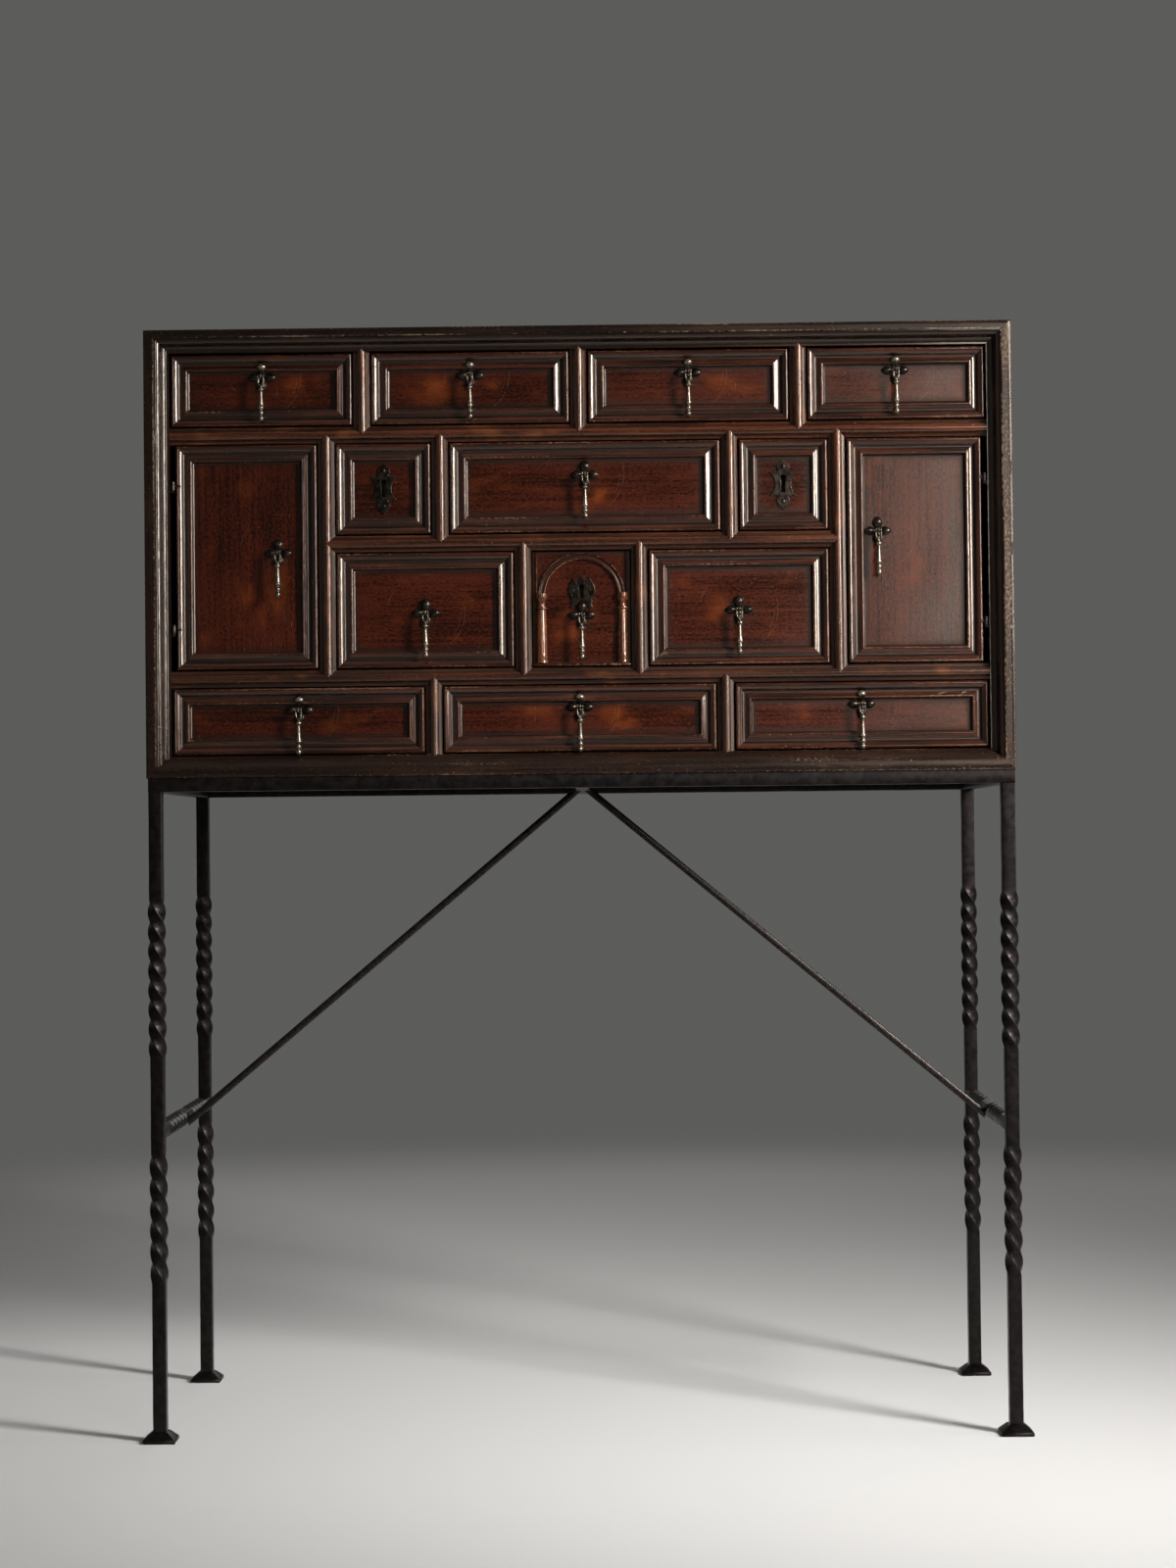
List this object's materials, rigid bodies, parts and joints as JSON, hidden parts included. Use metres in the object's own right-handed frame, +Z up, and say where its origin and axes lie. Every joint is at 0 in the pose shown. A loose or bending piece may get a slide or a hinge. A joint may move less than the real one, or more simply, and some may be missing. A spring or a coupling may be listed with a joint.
{
  "type": "vargueno",
  "caption": "Walnut writing chest of small drawers and doors behind mitred mouldings, on a twisted wrought-iron stand; drawers slide, doors and pulls swing, lock bolts lift.",
  "frame": {"origin": "on the floor, under the middle of the chest", "axes": "+Z up, drawer fronts face -Y, +X to the right seen from the front"},
  "size_m": [0.977, 0.411, 1.227],
  "materials": {
    "case_walnut": "waxed, worn at the edges",
    "front_walnut": "waxed, reddish, worn",
    "divider_walnut": "oiled",
    "fitting_iron": "dark, rubbed bright on the high spots",
    "stand_iron": "blackened and waxed"
  },
  "bodies": {
    "case_and_stand": {"case_top": "case_walnut", "case_bottom": "case_walnut", "case_left_side": "case_walnut", "case_right_side": "case_walnut", "case_back": "divider_walnut", "case_mouldings": "case_walnut", "shelves": "divider_walnut", "partitions": "divider_walnut", "facings": "case_walnut", "hinge_pintles": "fitting_iron", "stand_rails": "stand_iron", "stand_legs": "stand_iron", "stand_stretchers": "stand_iron", "stand_braces": "stand_iron"},
    "drawer_upper_1": {"drawer_upper_1": "front_walnut", "fittings_upper_1": "fitting_iron"},
    "drop_upper_1": {"drop_upper_1": "fitting_iron"},
    "drawer_upper_2": {"drawer_upper_2": "front_walnut", "fittings_upper_2": "fitting_iron"},
    "drop_upper_2": {"drop_upper_2": "fitting_iron"},
    "drawer_upper_3": {"drawer_upper_3": "front_walnut", "fittings_upper_3": "fitting_iron"},
    "drop_upper_3": {"drop_upper_3": "fitting_iron"},
    "drawer_upper_4": {"drawer_upper_4": "front_walnut", "fittings_upper_4": "fitting_iron"},
    "drop_upper_4": {"drop_upper_4": "fitting_iron"},
    "drawer_lower_1": {"drawer_lower_1": "front_walnut", "fittings_lower_1": "fitting_iron"},
    "drop_lower_1": {"drop_lower_1": "fitting_iron"},
    "drawer_lower_2": {"drawer_lower_2": "front_walnut", "fittings_lower_2": "fitting_iron"},
    "drop_lower_2": {"drop_lower_2": "fitting_iron"},
    "drawer_lower_3": {"drawer_lower_3": "front_walnut", "fittings_lower_3": "fitting_iron"},
    "drop_lower_3": {"drop_lower_3": "fitting_iron"},
    "drawer_second_1": {"drawer_second_1": "front_walnut", "fittings_second_1": "fitting_iron"},
    "bolt_second_1": {"bolt_second_1": "fitting_iron"},
    "drawer_second_2": {"drawer_second_2": "front_walnut", "fittings_second_2": "fitting_iron"},
    "drop_second_2": {"drop_second_2": "fitting_iron"},
    "drawer_second_3": {"drawer_second_3": "front_walnut", "fittings_second_3": "fitting_iron"},
    "bolt_second_3": {"bolt_second_3": "fitting_iron"},
    "drawer_third_1": {"drawer_third_1": "front_walnut", "fittings_third_1": "fitting_iron"},
    "drop_third_1": {"drop_third_1": "fitting_iron"},
    "drawer_third_2": {"drawer_third_2": "front_walnut", "fittings_third_2": "fitting_iron"},
    "drop_third_2": {"drop_third_2": "fitting_iron"},
    "bolt_third_2": {"bolt_third_2": "fitting_iron"},
    "drawer_third_3": {"drawer_third_3": "front_walnut", "fittings_third_3": "fitting_iron"},
    "drop_third_3": {"drop_third_3": "fitting_iron"},
    "door_left": {"door_left": "front_walnut", "fittings_door_left": "fitting_iron"},
    "drop_door_left": {"drop_door_left": "fitting_iron"},
    "door_right": {"door_right": "front_walnut", "fittings_door_right": "fitting_iron"},
    "drop_door_right": {"drop_door_right": "fitting_iron"}
  },
  "joints": [
    {"name": "upper_1_slide", "type": "slide", "parent": "case_and_stand", "child": "drawer_upper_1", "axis": [0, -1, 0], "range_m": [0, 0.3]},
    {"name": "upper_2_slide", "type": "slide", "parent": "case_and_stand", "child": "drawer_upper_2", "axis": [0, -1, 0], "range_m": [0, 0.3]},
    {"name": "upper_3_slide", "type": "slide", "parent": "case_and_stand", "child": "drawer_upper_3", "axis": [0, -1, 0], "range_m": [0, 0.3]},
    {"name": "upper_4_slide", "type": "slide", "parent": "case_and_stand", "child": "drawer_upper_4", "axis": [0, -1, 0], "range_m": [0, 0.3]},
    {"name": "lower_1_slide", "type": "slide", "parent": "case_and_stand", "child": "drawer_lower_1", "axis": [0, -1, 0], "range_m": [0, 0.3]},
    {"name": "lower_2_slide", "type": "slide", "parent": "case_and_stand", "child": "drawer_lower_2", "axis": [0, -1, 0], "range_m": [0, 0.3]},
    {"name": "lower_3_slide", "type": "slide", "parent": "case_and_stand", "child": "drawer_lower_3", "axis": [0, -1, 0], "range_m": [0, 0.3]},
    {"name": "second_1_slide", "type": "slide", "parent": "case_and_stand", "child": "drawer_second_1", "axis": [0, -1, 0], "range_m": [0, 0.3]},
    {"name": "second_1_bolt_slide", "type": "slide", "parent": "drawer_second_1", "child": "bolt_second_1", "axis": [0, 0, 1], "range_m": [0, 0.006]},
    {"name": "second_2_slide", "type": "slide", "parent": "case_and_stand", "child": "drawer_second_2", "axis": [0, -1, 0], "range_m": [0, 0.3]},
    {"name": "second_3_slide", "type": "slide", "parent": "case_and_stand", "child": "drawer_second_3", "axis": [0, -1, 0], "range_m": [0, 0.3]},
    {"name": "second_3_bolt_slide", "type": "slide", "parent": "drawer_second_3", "child": "bolt_second_3", "axis": [0, 0, 1], "range_m": [0, 0.006]},
    {"name": "third_1_slide", "type": "slide", "parent": "case_and_stand", "child": "drawer_third_1", "axis": [0, -1, 0], "range_m": [0, 0.3]},
    {"name": "third_2_slide", "type": "slide", "parent": "case_and_stand", "child": "drawer_third_2", "axis": [0, -1, 0], "range_m": [0, 0.3]},
    {"name": "third_2_bolt_slide", "type": "slide", "parent": "drawer_third_2", "child": "bolt_third_2", "axis": [0, 0, 1], "range_m": [0, 0.006]},
    {"name": "third_3_slide", "type": "slide", "parent": "case_and_stand", "child": "drawer_third_3", "axis": [0, -1, 0], "range_m": [0, 0.3]},
    {"name": "door_left_hinge", "type": "hinge", "parent": "case_and_stand", "child": "door_left", "pos_m": [-0.451, -0.175, 0.9755], "axis": [0, 0, -1], "range_deg": [0, 105]},
    {"name": "door_right_hinge", "type": "hinge", "parent": "case_and_stand", "child": "door_right", "pos_m": [0.451, -0.175, 0.9755], "axis": [0, 0, 1], "range_deg": [0, 105]},
    {"name": "upper_1_drop_swing", "type": "hinge", "parent": "drawer_upper_1", "child": "drop_upper_1", "pos_m": [-0.3515, -0.181, 1.1765], "axis": [-1, 0, 0], "range_deg": [0, 150]},
    {"name": "upper_2_drop_swing", "type": "hinge", "parent": "drawer_upper_2", "child": "drop_upper_2", "pos_m": [-0.11925, -0.181, 1.1765], "axis": [-1, 0, 0], "range_deg": [0, 150]},
    {"name": "upper_3_drop_swing", "type": "hinge", "parent": "drawer_upper_3", "child": "drop_upper_3", "pos_m": [0.1235, -0.181, 1.1765], "axis": [-1, 0, 0], "range_deg": [0, 150]},
    {"name": "upper_4_drop_swing", "type": "hinge", "parent": "drawer_upper_4", "child": "drop_upper_4", "pos_m": [0.35425, -0.181, 1.1765], "axis": [-1, 0, 0], "range_deg": [0, 150]},
    {"name": "lower_1_drop_swing", "type": "hinge", "parent": "drawer_lower_1", "child": "drop_lower_1", "pos_m": [-0.31275, -0.181, 0.805], "axis": [-1, 0, 0], "range_deg": [0, 150]},
    {"name": "lower_2_drop_swing", "type": "hinge", "parent": "drawer_lower_2", "child": "drop_lower_2", "pos_m": [-0.0005, -0.181, 0.805], "axis": [-1, 0, 0], "range_deg": [0, 150]},
    {"name": "lower_3_drop_swing", "type": "hinge", "parent": "drawer_lower_3", "child": "drop_lower_3", "pos_m": [0.31225, -0.181, 0.805], "axis": [-1, 0, 0], "range_deg": [0, 150]},
    {"name": "second_2_drop_swing", "type": "hinge", "parent": "drawer_second_2", "child": "drop_second_2", "pos_m": [0.0075, -0.181, 1.064], "axis": [-1, 0, 0], "range_deg": [0, 150]},
    {"name": "third_1_drop_swing", "type": "hinge", "parent": "drawer_third_1", "child": "drop_third_1", "pos_m": [-0.171, -0.181, 0.9115], "axis": [-1, 0, 0], "range_deg": [0, 150]},
    {"name": "third_2_drop_swing", "type": "hinge", "parent": "drawer_third_2", "child": "drop_third_2", "pos_m": [0.0025, -0.181, 0.9075], "axis": [-1, 0, 0], "range_deg": [0, 150]},
    {"name": "third_3_drop_swing", "type": "hinge", "parent": "drawer_third_3", "child": "drop_third_3", "pos_m": [0.1775, -0.181, 0.9115], "axis": [-1, 0, 0], "range_deg": [0, 150]},
    {"name": "door_left_drop_swing", "type": "hinge", "parent": "door_left", "child": "drop_door_left", "pos_m": [-0.3345, -0.181, 0.98], "axis": [-1, 0, 0], "range_deg": [0, 150]},
    {"name": "door_right_drop_swing", "type": "hinge", "parent": "door_right", "child": "drop_door_right", "pos_m": [0.3325, -0.181, 0.9975], "axis": [-1, 0, 0], "range_deg": [0, 150]}
  ]
}
